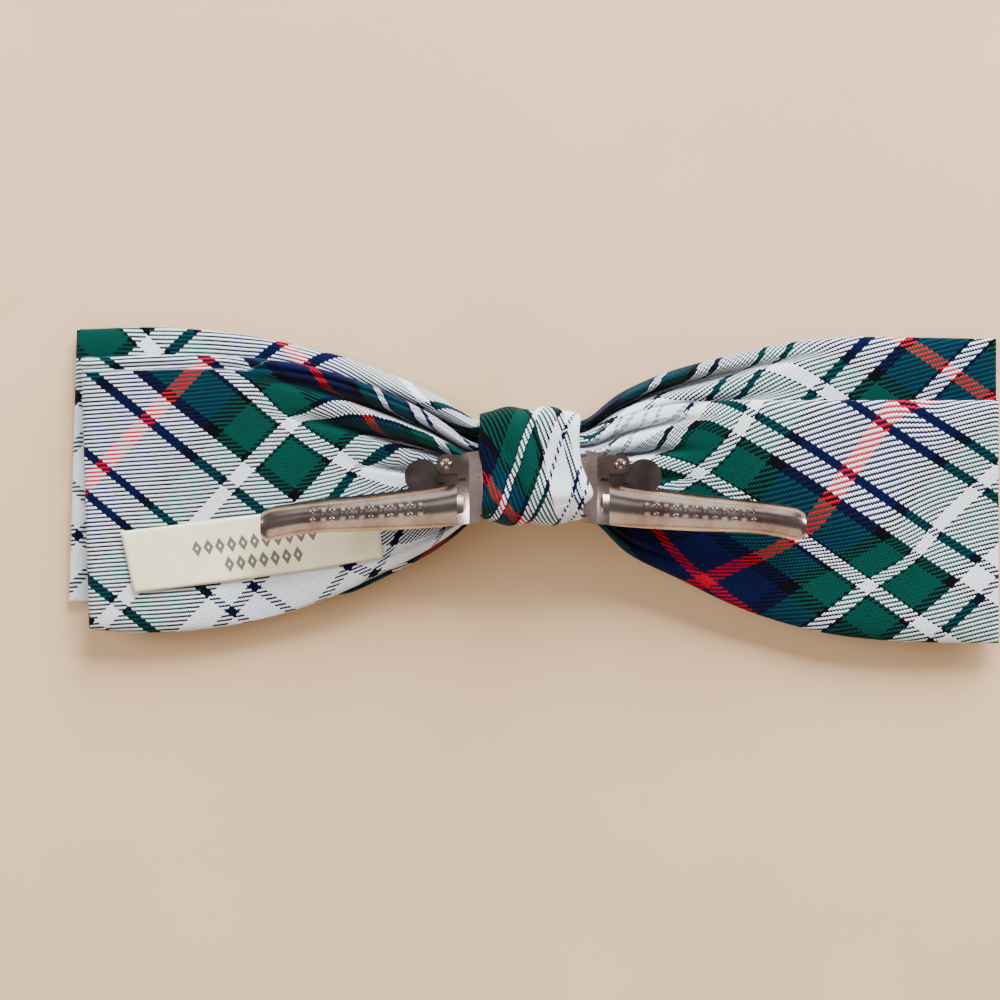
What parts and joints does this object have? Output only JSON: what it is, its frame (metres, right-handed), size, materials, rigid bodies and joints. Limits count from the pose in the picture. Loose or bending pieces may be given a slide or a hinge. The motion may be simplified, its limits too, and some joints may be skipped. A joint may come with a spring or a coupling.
{
  "type": "clip-on bow tie",
  "caption": "Pre-tied tartan bow tie: two gathered blades under a wrapped knot band, with a sprung metal collar clip and a woven label without words on the back.",
  "frame": {"origin": "middle of the bow's footprint, on the surface it lies on face down", "axes": "+X along the wings towards the right wing, +Y to the upper edge, +Z out of the back, where the clip is"},
  "size_m": [0.1168, 0.0398, 0.0111],
  "materials": {
    "tartan": "bias-cut 2/2 twill tartan, white ground with green, navy and red",
    "interlining": "plain undyed cloth",
    "thread": "white cotton thread",
    "label_satin": "cream woven satin, without words",
    "nickel_plate": "worn bright nickel plate on stamped steel",
    "spring_steel": "drawn wire"
  },
  "bodies": {
    "bow": {"front_blade_shell": "tartan", "back_blade_shell": "tartan", "knot_band": "tartan", "front_blade_interlining": "interlining", "back_blade_interlining": "interlining", "knot_band_lining": "interlining", "gather_thread": "thread", "knot_stitches": "thread", "label_tacks": "thread", "label": "label_satin", "clip_base_plate": "nickel_plate", "left_hinge_pin": "spring_steel", "right_hinge_pin": "spring_steel", "left_torsion_spring": "spring_steel", "right_torsion_spring": "spring_steel"},
    "left_arm": {"left_clip_arm": "nickel_plate", "left_stop_rivet": "nickel_plate"},
    "right_arm": {"right_clip_arm": "nickel_plate", "right_stop_rivet": "nickel_plate"}
  },
  "joints": [
    {"name": "left_arm_hinge", "type": "hinge", "parent": "bow", "child": "left_arm", "pos_m": [-0.005, -0.00055, 0.00895], "axis": [0, 1, 0], "range_deg": [0, 18], "stiffness_Nm_per_rad": 0.01, "springref_deg": -45.84, "deforming": ["left_torsion_spring"]},
    {"name": "right_arm_hinge", "type": "hinge", "parent": "bow", "child": "right_arm", "pos_m": [0.005, -0.00055, 0.00895], "axis": [0, -1, 0], "range_deg": [0, 18], "stiffness_Nm_per_rad": 0.01, "springref_deg": -45.84, "deforming": ["right_torsion_spring"]}
  ]
}
